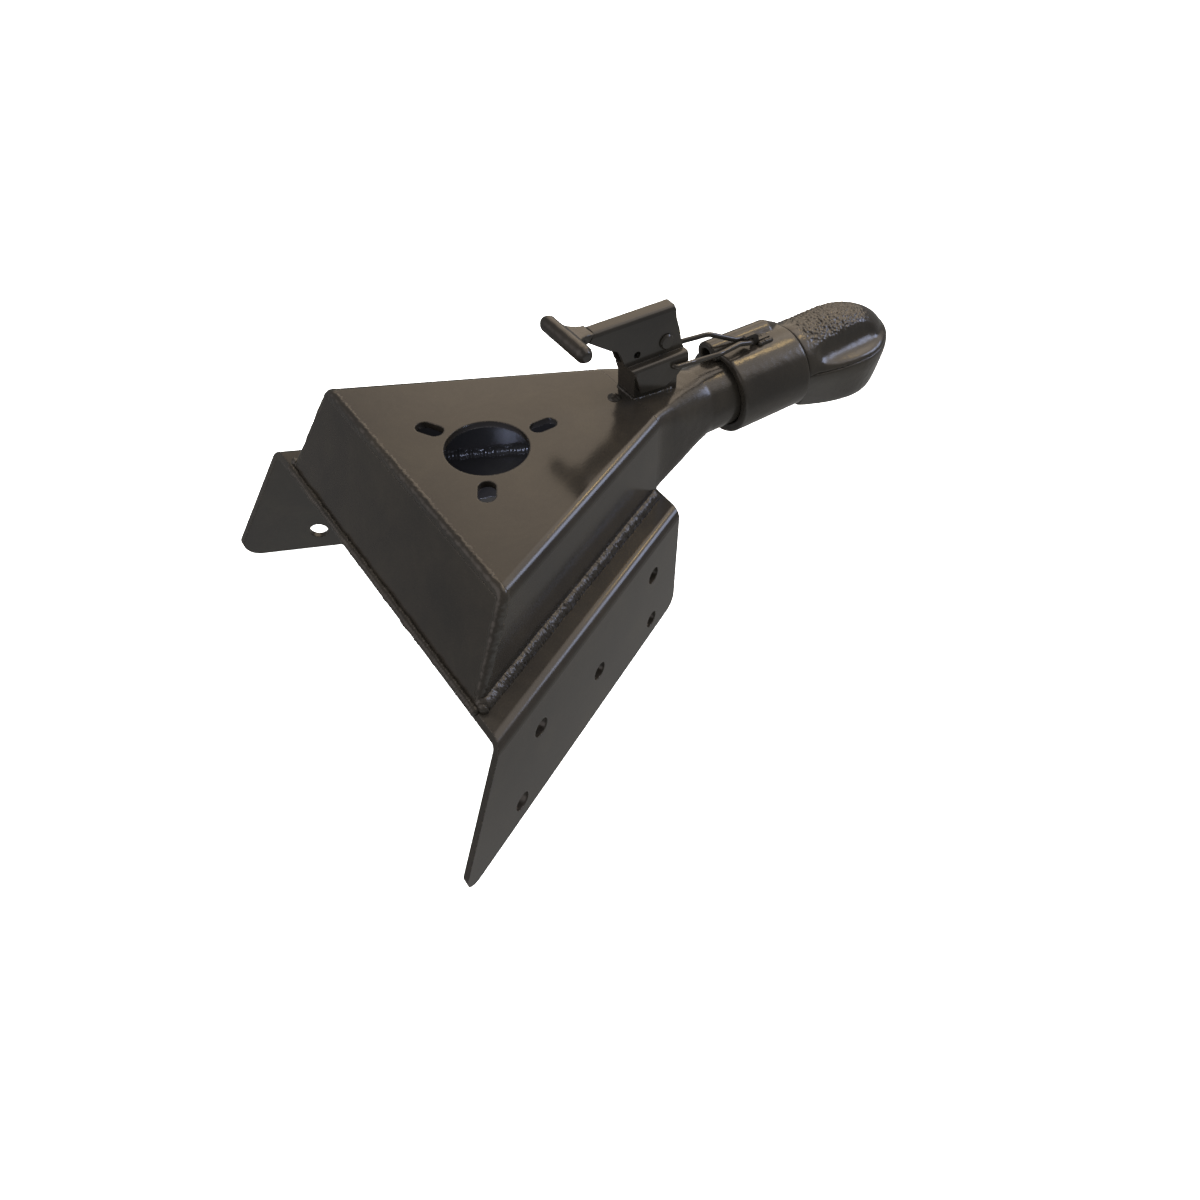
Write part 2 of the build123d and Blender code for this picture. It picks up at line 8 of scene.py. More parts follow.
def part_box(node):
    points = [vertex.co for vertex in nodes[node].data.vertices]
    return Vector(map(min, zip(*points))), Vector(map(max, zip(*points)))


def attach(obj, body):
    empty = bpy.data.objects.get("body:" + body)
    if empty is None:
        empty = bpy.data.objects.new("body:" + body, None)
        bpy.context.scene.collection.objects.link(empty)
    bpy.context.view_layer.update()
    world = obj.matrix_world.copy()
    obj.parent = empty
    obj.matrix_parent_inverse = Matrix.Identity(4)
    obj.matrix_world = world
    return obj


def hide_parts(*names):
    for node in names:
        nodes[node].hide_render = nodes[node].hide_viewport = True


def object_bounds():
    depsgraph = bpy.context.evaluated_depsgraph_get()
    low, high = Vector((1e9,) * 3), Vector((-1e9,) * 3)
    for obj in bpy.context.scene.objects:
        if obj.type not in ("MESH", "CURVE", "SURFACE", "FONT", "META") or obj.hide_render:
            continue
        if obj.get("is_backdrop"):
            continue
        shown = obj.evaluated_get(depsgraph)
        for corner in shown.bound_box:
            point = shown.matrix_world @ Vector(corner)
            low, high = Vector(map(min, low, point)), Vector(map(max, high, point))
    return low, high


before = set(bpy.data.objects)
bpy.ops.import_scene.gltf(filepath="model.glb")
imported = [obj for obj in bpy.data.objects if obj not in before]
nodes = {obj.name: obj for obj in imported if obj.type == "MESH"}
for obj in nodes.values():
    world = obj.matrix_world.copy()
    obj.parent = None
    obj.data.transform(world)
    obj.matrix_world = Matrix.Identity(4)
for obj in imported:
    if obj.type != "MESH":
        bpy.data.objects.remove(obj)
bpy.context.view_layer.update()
print("frame loaded:", len(nodes), "nodes")


def toLinear(hexColor):  # sRGB hex to linear, with full alpha
    parts = [int(hexColor[i:i + 2], 16) / 255 for i in (1, 3, 5)]
    linear = [p / 12.92 if p <= 0.04045 else ((p + 0.055) / 1.055) ** 2.4 for p in parts]
    return (*linear, 1.0)


def addNode(tree, kind, settings=None, links=None):
    node = tree.nodes.new(kind)
    settings = settings or {}
    for name in [n for n in settings if n[0].islower()]:  # the node's own settings come first
        setattr(node, name, settings[name])
    for name in [n for n in settings if n[0].isupper()]:
        node.inputs[name].default_value = settings[name]
    for name, source in (links or {}).items():
        key = int(name) if name.isdigit() else name
        tree.links.new(source, node.inputs[key])
    return node


enamel = {  # machinery enamel, a dark warm grey with a semi-gloss
    "dark": "#34322f",
    "mid": "#3c3934",
    "light": "#46423a",
    "toneStops": (0.3, 0.52, 0.74),  # where the slow cloud is dark, mid and light
    # a lighter grey painted in flecks along every edge: part edge wear, part painted highlight for the glints
    # on the bends
    "worn": "#8d8576",
    "wearAndGlintShare": 0.35,
    "wearAndGlintFlecks": (0.52, 0.6),  # the speck pattern's values between which a light fleck comes in, part edge wear and part painted highlight
    "wornBend": (0.995, 0.9),  # cosines of an edge's turn, from no light flecks to full ones: edge wear and painted highlight along the edges
    "dust": "#5d5850",
    "dustFlecks": (0.62, 0.8),
    "dustShare": 0.3,
    "roughness": (0.12, 0.2),
    "roughCloud": (0.3, 0.7),  # the cloud's values for the lower and the higher roughness
    "edgeMm": 1.6,
    "peel": 0.03,
    "peelDeepMm": 1.0,
    "grit": 0.03,  # on a flat face
    "edgeGrit": 0.35,  # on an edge
    "gritBend": (1.0, 0.94),
    "gritDeepMm": 0.4,
    "ior": 1.5,
}
enamelPatterns = {  # each with the size of its grain
    "cloud": {"grainMm": 60.0, "Detail": 6.0, "Roughness": 0.62, "Distortion": 0.4},
    "speck": {"grainMm": 1.6, "Detail": 2.0, "Roughness": 0.7},
    "peel": {"grainMm": 3.0, "Detail": 2.0},
    "grit": {"grainMm": 0.9, "Detail": 3.0, "Roughness": 0.65},
}


def enamelMaterial(name, changes):
    # Sprayed over steel, the enamel pulls thin on every edge, where a broken line of lighter specks is
    # painted, part wear and part painted highlight; and it takes the lie of the metal under it
    skin = {**enamel, **changes}
    mat = bpy.data.materials.new(name)
    mat.use_nodes = True
    tree = mat.node_tree
    shader = tree.nodes["Principled BSDF"]
    place = addNode(tree, "ShaderNodeTexCoord").outputs["Object"]
    pattern = {}
    for kind, grain in enamelPatterns.items():
        settings = {key: value for key, value in grain.items() if key != "grainMm"}
        settings["Scale"] = 1000 / grain["grainMm"]
        pattern[kind] = addNode(tree, "ShaderNodeTexNoise", settings, {"Vector": place}).outputs["Fac"]

    face = addNode(tree, "ShaderNodeNewGeometry").outputs["Normal"]
    rounded = addNode(tree, "ShaderNodeBevel",
                      {"samples": 6, "Radius": skin["edgeMm"] / 1000}).outputs["Normal"]
    bend = addNode(tree, "ShaderNodeVectorMath", {"operation": "DOT_PRODUCT"},
                   {"0": rounded, "1": face}).outputs["Value"]
    ranges = {  # what each mask reads, between which values, and what these become
        "onEdge": (bend, skin["wornBend"], (0.0, 1.0)),
        "flecks": (pattern["speck"], skin["wearAndGlintFlecks"], (0.0, skin["wearAndGlintShare"])),
        "dusty": (pattern["speck"], skin["dustFlecks"], (0.0, skin["dustShare"])),
        "rough": (pattern["cloud"], skin["roughCloud"], skin["roughness"]),
        "gritty": (bend, skin["gritBend"], (skin["grit"], skin["edgeGrit"])),
    }
    mask = {}
    for kind, (source, given, wanted) in ranges.items():
        settings = {"From Min": given[0], "From Max": given[1], "To Min": wanted[0], "To Max": wanted[1]}
        mask[kind] = addNode(tree, "ShaderNodeMapRange", settings, {"Value": source}).outputs["Result"]
    # the lighter flecks on the edges, part wear and part painted highlight
    mask["worn"] = addNode(tree, "ShaderNodeMath", {"operation": "MULTIPLY"},
                           {"0": mask["onEdge"], "1": mask["flecks"]}).outputs["Value"]

    tone = addNode(tree, "ShaderNodeValToRGB", links={"Fac": pattern["cloud"]})
    tone.color_ramp.elements.new(skin["toneStops"][1])
    for stop, at, paint in zip(tone.color_ramp.elements, skin["toneStops"], ("dark", "mid", "light")):
        stop.position = at
        stop.color = toLinear(skin[paint])
    color = tone.outputs["Color"]
    # dust flecks, then the lighter edge flecks, which are part wear and part painted highlight
    for kind, paint in (("dusty", "dust"), ("worn", "worn")):  # a Mix node's colours are sockets 6 and 7
        mix = addNode(tree, "ShaderNodeMix", {"data_type": "RGBA"}, {"0": mask[kind], "6": color})
        mix.inputs[7].default_value = toLinear(skin[paint])
        color = mix.outputs[2]

    bump = addNode(tree, "ShaderNodeBump", {"Strength": skin["peel"], "Distance": skin["peelDeepMm"] / 1000},
                   {"Height": pattern["peel"], "Normal": rounded})
    bump = addNode(tree, "ShaderNodeBump", {"Distance": skin["gritDeepMm"] / 1000},
                   {"Height": pattern["grit"], "Normal": bump.outputs["Normal"], "Strength": mask["gritty"]})
    tree.links.new(color, shader.inputs["Base Color"])
    tree.links.new(mask["rough"], shader.inputs["Roughness"])
    tree.links.new(bump.outputs["Normal"], shader.inputs["Normal"])
    shader.inputs["IOR"].default_value = skin["ior"]
    return mat


finishes = {  # what the enamel lies on, and how that changes it
    "plate": {"name": "enamelOnRolledPlate", "slot": "plate_paint"},
    "forging": {"name": "enamelOnForging", "slot": "forging_paint",
                "grit": 0.1, "peel": 0.08, "roughness": (0.13, 0.22)},
    "weld": {"name": "enamelOnWeldBead", "slot": "weld_paint", "edgeMm": 0.5,
             "grit": 0.25, "peel": 0.4, "roughness": (0.16, 0.3)},
    "wire": {"name": "enamelOnSpringWire", "slot": "steel", "edgeMm": 0.3},
    # fewer of the lighter edge flecks, which are part wear and part painted highlight
    "pressed": {"name": "enamelOnPressedSheet", "slot": "plate_paint", "edgeMm": 0.8, "wearAndGlintShare": 0.25},
}
nodesByFinish = {
    "plate": ("housing_shell", "base_plate", "rear_plate"),
    "pressed": ("latch_bracket", "lever", "bail_hook"),
    "forging": ("neck", "neck_key", "upper_jaw", "lower_jaw", "t_bar", "collar"),
    "weld": ("rear_foot_weld", "wall_welds", "bracket_welds", "hook_welds"),
    "wire": ("jaw_hinge_pin", "pivot_rivet", "bail"),
}
materials = {finish: enamelMaterial(values["name"], values) for finish, values in finishes.items()}
for finish, nodeNames in nodesByFinish.items():
    for nodeName in nodeNames:
        mesh = nodes[nodeName].data
        mesh.materials.clear()
        mesh.materials.append(materials[finish])
print("materials ready:", len(materials))


def finishPiece(name, bm, finish, body, replaced=None):
    mesh = bpy.data.meshes.new(name)
    bmesh.ops.recalc_face_normals(bm, faces=bm.faces)
    bm.to_mesh(mesh)
    bm.free()
    mesh.shade_smooth()
    mesh.materials.append(materials[finish])
    piece = bpy.data.objects.new(name, mesh)
    bpy.context.scene.collection.objects.link(piece)
    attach(piece, body)
    if replaced:
        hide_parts(replaced)
    print(name, len(mesh.polygons), "faces")


def walkRoute(route, step):  # even stations along a route in millimetres, each with the way ahead
    places = []
    for start, end in zip(route, route[1:]):
        start, end = Vector(start), Vector(end)
        count = max(1, round((end - start).length / step))
        places += [start.lerp(end, i / count) for i in range(count)]
    places.append(Vector(route[-1]))
    ways = [(b - a).normalized() for a, b in zip(places, places[1:])]
    ways.append(ways[-1])
    return list(zip(places, [(a + b).normalized() for a, b in zip([ways[0]] + ways, ways)]))


beadStyle = {
    "stationsPerRipple": 4,
    "bluntEnd": 0.08,  # how much of its section a bead keeps at its very end
    "acrossScale": 1.2,  # the roughness across the bead is a little finer than along it
    "acrossShift": (7.0, 7.0, 7.0),
}


def layBead(bm, route, bead, seed=0.0):
    # Pulls a ring along a seam: it swells and sags at every ripple of the weld, and its ends are round.
    # Ripple and lump are shares of the radius, every other value is in millimetres
    perRipple = beadStyle["stationsPerRipple"]
    step = bead["rippleMm"] / perRipple
    stations = walkRoute(route, step)
    frames = []
    for i, (place, ahead) in enumerate(stations):
        swell = 1 + bead["ripple"] * ((i % perRipple) / perRipple - 0.5)
        swell += bead["lump"] * noise.noise(place / bead["lumpMm"] + Vector((seed, seed, seed)))
        fromEnd = min(1.0, min(i, len(stations) - 1 - i) * step / bead["radius"])
        radius = bead["radius"] * swell * math.sqrt(min(1.0, beadStyle["bluntEnd"] + fromEnd * (2 - fromEnd)))
        turn = ahead.to_track_quat("Z", "Y").to_matrix().to_4x4()
        frames.append(Matrix.Translation(place / 1000) @ turn @ Matrix.Scale(radius / 1000, 4))
    ring = bmesh.ops.create_circle(bm, cap_ends=True, radius=1, segments=bead["sides"])["verts"]
    made = list(ring)
    bmesh.ops.transform(bm, matrix=frames[0], verts=ring)
    edges = list(dict.fromkeys(edge for vert in ring for edge in vert.link_edges))
    for before, after in zip(frames, frames[1:]):
        pulled = bmesh.ops.extrude_edge_only(bm, edges=edges)["geom"]
        ring = [part for part in pulled if isinstance(part, bmesh.types.BMVert)]
        ends = set(ring)
        edges = [part for part in pulled
                 if isinstance(part, bmesh.types.BMEdge) and ends.issuperset(part.verts)]
        bmesh.ops.transform(bm, matrix=after @ before.inverted(), verts=ring)
        made += ring
    bmesh.ops.edgeloop_fill(bm, edges=edges)
    for vert in made:
        along = noise.noise(vert.co * 1000 / bead["roughMm"])
        finer = vert.co * (1000 * beadStyle["acrossScale"]) / bead["roughMm"]
        across = noise.noise(finer + Vector(beadStyle["acrossShift"]))
        vert.co += Vector((along, across, along)) * bead["rough"] / 1000


plan = {  # the housing's dimensions in millimetres, as in the part's source
    "rearX": -72.5,
    "rake": math.tan(math.radians(26)),
    "halfWidth": 150.0,
    "halfTan": math.tan(math.radians(25)),
    "halfCos": math.cos(math.radians(25)),
    "height": 87.0,
    "shoulderX": 142.5,
    "plateMm": 6.35,
}


def wallY(x, inset=0.0):  # the side wall's outer face, or a line that much inside it
    return plan["halfWidth"] - (x - plan["rearX"]) * plan["halfTan"] - inset / plan["halfCos"]


def rakeX(z, inset=0.0):  # the rear plate's outer face, or a line that much inside it
    return plan["rearX"] + z * plan["rake"] + inset * math.sqrt(1 + plan["rake"] ** 2)


wallBead = {
    "radius": 8.2, "rippleMm": 3.0, "ripple": 0.02, "lump": 0.07, "lumpMm": 9.0, "rough": 1.0, "roughMm": 1.4,
    "sides": 28,
    "inset": 2.0,  # its middle lies this far inside the wall's face, so that it shows as a low fillet
    "lift": 0.4,
    "rearGap": 2.0,
    "shoulderGap": 1.0,
}


def makeWallBeads():
    bm = bmesh.new()
    low = -plan["height"]
    ends = (rakeX(low) + wallBead["rearGap"], plan["shoulderX"] - wallBead["shoulderGap"])
    for side in (1, -1):
        route = [(x, side * wallY(x, wallBead["inset"]), low + wallBead["lift"]) for x in ends]
        layBead(bm, route, wallBead, seed=side * 5.0)
    finishPiece("wallWeldBeads", bm, "weld", "root", "wall_welds")


footBead = {
    "radius": 3.9, "rippleMm": 2.6, "ripple": 0.14, "lump": 0.3, "lumpMm": 8.0, "rough": 0.6, "roughMm": 2.2,
    "sides": 16,
    "out": 0.6,
    "lift": 0.4,
    "wallInset": 4.0,
    "pastWall": 4.0,
}
cornerBlob = {  # where the foot's bead and a wall's bead end in one blob
    "radius": 6.2,
    "start": (1.5, 4.5, 1.2),  # from the corner: forwards, outwards and up
    "end": (8.5, 2.5, 2.5),
    "seed": 3.0,
}


def makeFootBead():
    bm = bmesh.new()
    low = -plan["height"]
    x = rakeX(low)
    y = wallY(x, footBead["wallInset"])
    reach = y + footBead["pastWall"]
    layBead(bm, [(x - footBead["out"], side * reach, low + footBead["lift"]) for side in (-1, 1)], footBead)
    for side in (1, -1):
        route = [(x + ahead, side * (y + out), low + up)
                 for ahead, out, up in (cornerBlob["start"], cornerBlob["end"])]
        layBead(bm, route, {**footBead, "radius": cornerBlob["radius"]}, cornerBlob["seed"])
    finishPiece("rearFootBead", bm, "weld", "root", "rear_foot_weld")


groundBead = {
    "radius": 5.3, "rippleMm": 4.0, "ripple": 0.0, "lump": 0.08, "lumpMm": 7.0, "rough": 0.6, "roughMm": 2.6,
    "sides": 28,
    "sunk": 5.0,
    "footGap": 4.0,
    "turn": 5.0,  # the top bend's radius, less the depth of the bead's middle
    "turnSteps": 6,
}


def makeGroundSeams():  # the rear plate's edges are welded, then ground round, and stay a little lumpy
    bm = bmesh.new()
    sunk, turn = groundBead["sunk"], groundBead["turn"]
    low = groundBead["footGap"] - plan["height"]
    route = []
    for side in (-1, 1):
        leg = [(rakeX(low, sunk), side * wallY(rakeX(low, sunk), sunk), low)]
        for step in range(groundBead["turnSteps"] + 1):
            angle = math.pi / 2 * step / groundBead["turnSteps"]
            z = -sunk - turn * (1 - math.sin(angle))
            x = rakeX(z, sunk)
            leg.append((x, side * (wallY(x, sunk) - turn * (1 - math.cos(angle))), z))
        route += leg if side < 0 else leg[::-1]
    layBead(bm, route, groundBead)
    finishPiece("groundRearSeams", bm, "forging", "root")


innerBead = {
    "radius": 6.5, "rippleMm": 3.4, "ripple": 0.14, "lump": 0.3, "lumpMm": 9.0, "rough": 0.7, "roughMm": 2.8,
    "sides": 16,
    "fromX": -60.0,
    "toX": 120.0,
}


def makeInnerBeads():  # the walls' welds on the inside, which show through the jack opening
    bm = bmesh.new()
    ends = (innerBead["fromX"], innerBead["toX"])
    for side in (1, -1):
        route = [(x, side * wallY(x, plan["plateMm"]), -plan["height"]) for x in ends]
        layBead(bm, route, innerBead, seed=side * 2.0)
    finishPiece("innerWallBeads", bm, "weld", "root")


makeWallBeads()
makeFootBead()
makeGroundSeams()
makeInnerBeads()
print("housing welds laid")

forgings = {  # sizes in millimetres
    "forgedNeck": {
        "node": "neck", "body": "root",
        "grainMm": 1.6, "rounds": 3, "lump": 0.12, "lumpMm": 7.0,
        "calmUntil": 156.0,  # no unevenness where it joins the housing
        "calmFade": 10.0,
        "rootBand": 0.1,
        "rootMm": 7.0,  # how far its rear end goes on inside the housing, so that no seam shows
        "rootDrop": 0.06,  # this keeps it just under the top plate
        "rootSpread": 1.028,  # and this keeps the slope of its sides
        "hollow": 0.266,  # how much more steeply the walls come in than the neck's sides leave
        "hollowMm": 18.0,
        "rootSlope": 0.22,  # the same behind the seam
        "facing": 0.2,  # only faces turned sideways by more than this are eased
        "facingFade": 0.5,
    },
    "slidingCollar": {
        "node": "collar", "body": "collar",
        "grainMm": 1.2, "rounds": 3, "lump": 0.1, "lumpMm": 6.0,
    },
    "handleGrip": {
        "node": "t_bar", "body": "lever",
        "grainMm": 0.8, "rounds": 6, "lump": 0.12, "lumpMm": 5.0,
    },
    "forgedLowerJaw": {
        "node": "lower_jaw", "body": "lower_jaw",
        "grainMm": 1.3, "rounds": 3, "lump": 0.16, "lumpMm": 6.0,
    },
    "forgedHead": {
        "node": "upper_jaw", "body": "root",
        "grainMm": 1.0, "rounds": 3, "lump": 0.12, "lumpMm": 7.0,
        "meltRounds": 45,  # the scoops in its sides flow into the crown
        "meltFrom": 350.0,
        "meltAbove": -33.0,
        "pebbleMm": 2.7,
        "pebble": 2.6,
        "pebbleRise": 0.45,  # at a pebble's middle, as a share of its height; it falls off to the gaps
        "pebbleReach": 0.9,
        "pebbleFrom": 350.0,
        "pebbleAbove": -14.0,
        "pebbleFade": 9.0,
        "pebbleFacing": -0.05,
        "pebbleFacingFade": 1 / 3,
    },
}
mergeDistance = 1e-6  # metres


def ramp(value, start, width):  # 0 up to the start, and 1 from a width past it
    return min(1.0, max(0.0, (value - start) / width))


def relax(bm, verts, rounds):
    for _ in range(rounds):
        bmesh.ops.smooth_vert(bm, verts=verts, factor=0.5, use_axis_x=True, use_axis_y=True, use_axis_z=True)
    bm.normal_update()


def extendRoot(bm, skin):
    root = [vert for vert in bm.verts if vert.co.x * 1000 < plan["shoulderX"] + skin["rootBand"]]
    bmesh.ops.translate(bm, verts=root, vec=(-skin["rootMm"] / 1000, 0, -skin["rootDrop"] / 1000))
    bmesh.ops.scale(bm, verts=root, vec=(1, skin["rootSpread"], 1))


def softCopy(skin):
    # A merged copy of a CAD node's mesh, remeshed evenly and relaxed, so that its edges are a forging's
    source = nodes[skin["node"]].data.copy()
    bm = bmesh.new()
    bm.from_mesh(source)
    bmesh.ops.remove_doubles(bm, verts=bm.verts, dist=mergeDistance)
    if "rootMm" in skin:
        extendRoot(bm, skin)
    bm.to_mesh(source)
    bm.free()
    blank = bpy.data.objects.new("blank", source)
    bpy.context.scene.collection.objects.link(blank)
    remesh = blank.modifiers.new("evenGrain", "REMESH")
    remesh.mode = "VOXEL"
    remesh.voxel_size = skin["grainMm"] / 1000
    even = bpy.data.meshes.new_from_object(blank.evaluated_get(bpy.context.evaluated_depsgraph_get()))
    bpy.data.objects.remove(blank)
    bm = bmesh.new()
    bm.from_mesh(even)
    relax(bm, bm.verts, skin["rounds"])
    return bm


def meltScoops(bm, skin):
    flowing = [vert for vert in bm.verts
               if vert.co.x * 1000 > skin["meltFrom"] and vert.co.z * 1000 > skin["meltAbove"]]
    relax(bm, flowing, skin["meltRounds"])


def roughen(bm, skin):  # the slight unevenness of a forged face
    for vert in bm.verts:
        lump = skin["lump"]
        if "calmUntil" in skin:
            lump *= ramp(vert.co.x * 1000, skin["calmUntil"], skin["calmFade"])
        vert.co += vert.normal * noise.noise(vert.co * 1000 / skin["lumpMm"]) * lump / 1000


def easeShoulder(bm, skin):  # the side walls run on into the neck in a hollow curve, with no crease
    for vert in bm.verts:
        ahead = vert.co.x * 1000 - plan["shoulderX"]
        side = math.copysign(1, vert.co.y)
        slope = skin["hollow"] * math.exp(-ahead / skin["hollowMm"]) if ahead > 0 else skin["rootSlope"]
        share = ramp(vert.normal.y * side, skin["facing"], skin["facingFade"])
        vert.co.y -= side * slope * ahead * share / 1000


def pebbleCrown(bm, skin):  # the hammered grain over the head's crown
    bm.normal_update()
    for vert in bm.verts:
        x, y, z = vert.co * 1000
        reach = ramp(x, skin["pebbleFrom"], skin["pebbleFade"])
        reach *= ramp(z, skin["pebbleAbove"], skin["pebbleFade"])
        reach *= ramp(vert.normal.z, skin["pebbleFacing"], skin["pebbleFacingFade"])
        if reach > 0:
            toMiddle = noise.voronoi(vert.co * 1000 / skin["pebbleMm"])[0][0]
            rise = skin["pebbleRise"] - min(toMiddle, skin["pebbleReach"])
            vert.co += vert.normal * rise * skin["pebble"] * reach / 1000


def makeForgings():
    for name, skin in forgings.items():
        bm = softCopy(skin)
        if "meltRounds" in skin:
            meltScoops(bm, skin)
        roughen(bm, skin)
        if "hollow" in skin:
            easeShoulder(bm, skin)
        if "pebble" in skin:
            pebbleCrown(bm, skin)
        finishPiece(name, bm, "forging", skin["body"], skin["node"])


makeForgings()
print("forgings done:", len(forgings))

bracketBead = {
    "radius": 2.5, "rippleMm": 2.4, "ripple": 0.05, "lump": 0.3, "lumpMm": 6.0, "rough": 0.5, "roughMm": 2.2,
    "sides": 16,
    "sideShare": 0.97,
    "rearEnd": (-1.0, -0.9),  # ahead of the bracket's rear edge, and height
    "frontEnd": (-4.0, -5.2),  # ahead of its front edge, and height
}
bracketRearBead = {**bracketBead, "radius": 1.7, "out": 0.5, "seed": 4.0}
bracketSpatter = {  # a blob on the top plate, where the welder started
    **bracketBead,
    "radius": 8.0,
    "start": (-19.0, -4.5, -4.2),  # ahead of the bracket's rear edge, sideways and height
    "end": (-8.0, 3.0, -4.2),
    "seed": 2.0,
}


def makeBracketBeads():
    bm = bmesh.new()
    lowest, highest = (corner * 1000 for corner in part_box("latch_bracket"))
    for y in (lowest.y, highest.y):
        inside = y * bracketBead["sideShare"]
        rear = (lowest.x + bracketBead["rearEnd"][0], inside, bracketBead["rearEnd"][1])
        front = (highest.x + bracketBead["frontEnd"][0], inside, bracketBead["frontEnd"][1])
        layBead(bm, [rear, front], bracketBead, seed=y)
    route = [(lowest.x + x, y, z) for x, y, z in (bracketSpatter["start"], bracketSpatter["end"])]
    layBead(bm, route, bracketSpatter, bracketSpatter["seed"])
    rearX = lowest.x - bracketRearBead["out"]
    layBead(bm, [(rearX, lowest.y, 0), (rearX, highest.y, 0)], bracketRearBead, bracketRearBead["seed"])
    finishPiece("bracketFootBeads", bm, "weld", "root", "bracket_welds")


hookBead = {
    "radius": 3.2, "rippleMm": 2.2, "ripple": 0.12, "lump": 0.25, "lumpMm": 5.0, "rough": 0.6, "roughMm": 1.8,
    "sides": 16,
    "inset": 1.5,
    "sunk": 0.6,
}


def makeHookBeads():
    bm = bmesh.new()
    lowest, highest = (corner * 1000 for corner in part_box("hook_welds"))
    for y in (lowest.y + hookBead["inset"], highest.y - hookBead["inset"]):
        layBead(bm, [(x, y, -hookBead["sunk"]) for x in (lowest.x, highest.x)], hookBead, seed=y)
    finishPiece("hookFootBeads", bm, "weld", "collar", "hook_welds")


makeBracketBeads()
makeHookBeads()
print("latch welds laid")

studio = {
    "floorColor": "#fbfbfa",
    "floorRoughness": 0.9,
    "floorSize": 7.0,
    "floorMiddleX": 0.1,
    "floorDrop": 0.0005,
    "backColor": "#ffffff",
    "paperLampPlace": (0.1, 0, 3.5),
    "paperLampSize": 6.0,
    "paperLampPower": 700.0,
}
roomGlow = {  # the room's soft panels, each a patch of the sky: its way, and its edge and core in degrees
    "allRound": {"toward": (0, 0, 1), "edge": 180, "core": 179, "color": "#ffffff", "level": 0.2},
    "warmPanel": {"toward": (0.60, 0.60, 0.53), "edge": 32, "core": 15, "color": "#ffe7ca", "level": 1.35},
    "frontLow": {"toward": (0.66, -0.05, -0.74), "edge": 48, "core": 22, "color": "#fff4e6", "level": 0.1},
    "rightLow": {"toward": (-0.15, -0.66, -0.72), "edge": 50, "core": 20, "color": "#faf8f6", "level": 0.38},
    "rearHigh": {"toward": (-0.9, 0.2, 0.45), "edge": 45, "core": 15, "color": "#fff1ec", "level": 0.9},
    "frontHigh": {"toward": (0.60, -0.06, 0.80), "edge": 38, "core": 14, "color": "#fff0e2", "level": 1.5},
    "windowPanel": {"toward": (0.80, -0.28, 0.52), "edge": 12, "core": 8, "color": "#c6d6ff", "level": 5.5},
}
lamps = {
    "insideGlow": {  # just under the jack opening, for the light that finds its way into the housing
        "aim": (0.02, -0.02, -0.02), "toward": (-0.15, -0.3, 0.5), "distance": 0.0,
        "size": 0.02, "power": 0.08, "color": "#c6d0f4",
    },
    "warmLamp": {
        "aim": (0.03, -0.06, 0.0), "toward": (0.66, 0.08, 0.745), "distance": 2.6,
        "size": 0.3, "power": 3.0, "color": "#ffd890",
    },
}


def makeFloor():
    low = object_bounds()[0][2] - studio["floorDrop"]
    bm = bmesh.new()
    bmesh.ops.create_grid(bm, x_segments=1, y_segments=1, size=studio["floorSize"] / 2)
    bmesh.ops.translate(bm, verts=bm.verts, vec=(studio["floorMiddleX"], 0, low))
    mesh = bpy.data.meshes.new("studioFloor")
    bm.to_mesh(mesh)
    bm.free()
    floor = bpy.data.objects.new("studioFloor", mesh)
    bpy.context.scene.collection.objects.link(floor)
    mat = bpy.data.materials.new("studioPaper")
    mat.use_nodes = True
    paper = mat.node_tree.nodes["Principled BSDF"]
    paper.inputs["Base Color"].default_value = toLinear(studio["floorColor"])
    paper.inputs["Roughness"].default_value = studio["floorRoughness"]
    mesh.materials.append(mat)
    floor.visible_diffuse = floor.visible_glossy = floor.visible_shadow = False  # a backdrop only
    floor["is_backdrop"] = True
    return floor


def addLight(name, size, power):
    light = bpy.data.lights.new(name, "AREA")
    light.size = size
    light.energy = power
    holder = bpy.data.objects.new(name, light)
    holder.visible_camera = False
    bpy.context.scene.collection.objects.link(holder)
    return holder


def lightPaper(floor):  # a wide lamp for the backdrop alone, which the object doesn't shade
    holder = addLight("paperLight", studio["paperLampSize"], studio["paperLampPower"])
    holder.location = studio["paperLampPlace"]
    onlyPaper = bpy.data.collections.new("onlyPaper")
    onlyPaper.objects.link(floor)
    holder.light_linking.receiver_collection = onlyPaper
    holder.light_linking.blocker_collection = onlyPaper


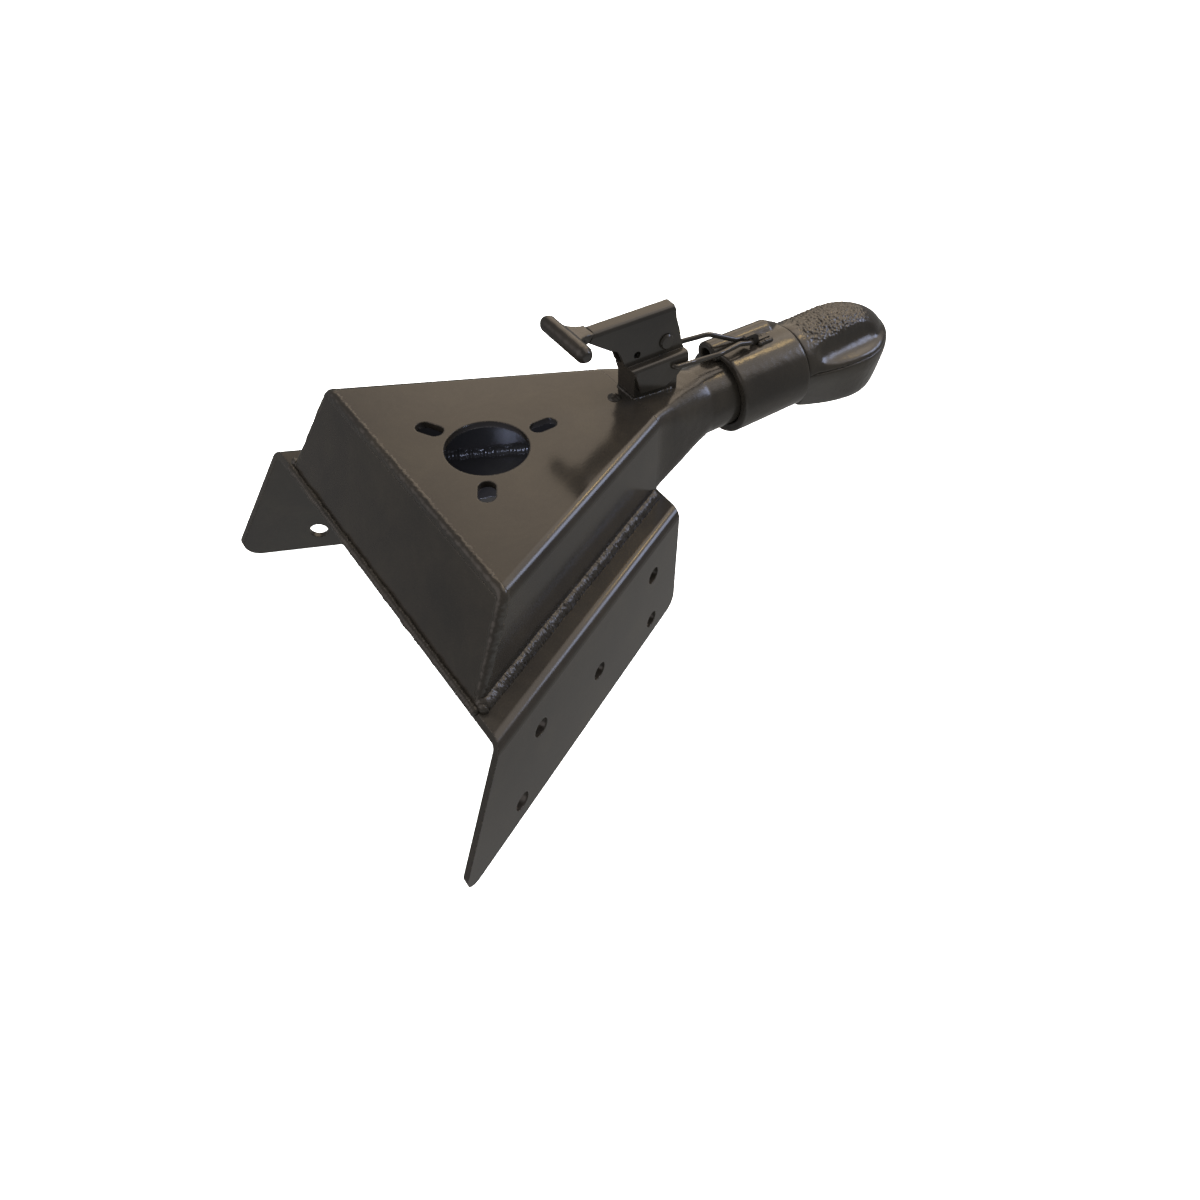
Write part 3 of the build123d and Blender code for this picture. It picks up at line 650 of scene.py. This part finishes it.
def makeRoom():
    world = bpy.data.worlds.new("studioWorld")
    bpy.context.scene.world = world
    world.use_nodes = True
    tree = world.node_tree
    way = addNode(tree, "ShaderNodeTexCoord").outputs["Generated"]
    room = None
    for name, glow in roomGlow.items():
        aim = addNode(tree, "ShaderNodeVectorMath", {"operation": "DOT_PRODUCT"}, {"0": way})
        aim.inputs[1].default_value = Vector(glow["toward"]).normalized()
        soft = addNode(tree, "ShaderNodeMapRange",
                       {"interpolation_type": "SMOOTHSTEP", "To Min": 0.0, "To Max": glow["level"],
                        "From Min": math.cos(math.radians(glow["edge"])),
                        "From Max": math.cos(math.radians(glow["core"]))},
                       {"Value": aim.outputs["Value"]})
        soft.name = name
        patch = addNode(tree, "ShaderNodeBackground", {"Color": toLinear(glow["color"])},
                        {"Strength": soft.outputs["Result"]})
        if room:
            patch = addNode(tree, "ShaderNodeAddShader", links={"0": room.outputs[0], "1": patch.outputs[0]})
        room = patch
    back = addNode(tree, "ShaderNodeBackground", {"Color": toLinear(studio["backColor"])})
    seen = addNode(tree, "ShaderNodeLightPath").outputs["Is Camera Ray"]
    both = addNode(tree, "ShaderNodeMixShader", links={"0": seen, "1": room.outputs[0], "2": back.outputs[0]})
    tree.links.new(both.outputs[0], tree.nodes["World Output"].inputs["Surface"])


def addLamp(name, lamp):
    holder = addLight(name, lamp["size"], lamp["power"])
    holder.data.shape = "DISK"
    holder.data.color = toLinear(lamp["color"])[:3]
    toward = Vector(lamp["toward"]).normalized()
    place = Vector(lamp["aim"]) + toward * lamp["distance"]
    holder.matrix_world = Matrix.Translation(place) @ (-toward).to_track_quat("-Z", "Y").to_matrix().to_4x4()


viewpoint = {  # the photograph's camera, fitted to its plate edges, bends and holes
    "place": (-0.2653, -0.5540, 0.5034),
    "right": (0.760371, -0.642416, 0.09559),
    "up": (0.418301, 0.59697, 0.684581),
    "back": (-0.49685, -0.48055, 0.722642),
    "focalPixels": 917.0,
    "centerPixel": (730.5, 564.4),
    "framePixels": 1200,
    "sensorMm": 36,
    "clipStart": 0.01,
}


def makeCamera():
    data = bpy.data.cameras.new("photoCamera")
    cam = bpy.data.objects.new("photoCamera", data)
    bpy.context.scene.collection.objects.link(cam)
    size = viewpoint["framePixels"]
    data.sensor_width = viewpoint["sensorMm"]
    data.lens = viewpoint["focalPixels"] / size * viewpoint["sensorMm"]
    data.shift_x = -(viewpoint["centerPixel"][0] - size / 2) / size
    data.shift_y = (viewpoint["centerPixel"][1] - size / 2) / size
    data.clip_start = viewpoint["clipStart"]
    turn = Matrix((viewpoint["right"], viewpoint["up"], viewpoint["back"])).transposed()
    cam.matrix_world = Matrix.Translation(viewpoint["place"]) @ turn.to_4x4()
    bpy.context.scene.camera = cam


lightPaper(makeFloor())
makeRoom()
for lampName, lamp in lamps.items():
    addLamp(lampName, lamp)
makeCamera()
bpy.context.scene.view_settings.view_transform = "Standard"
print("studio and camera ready")
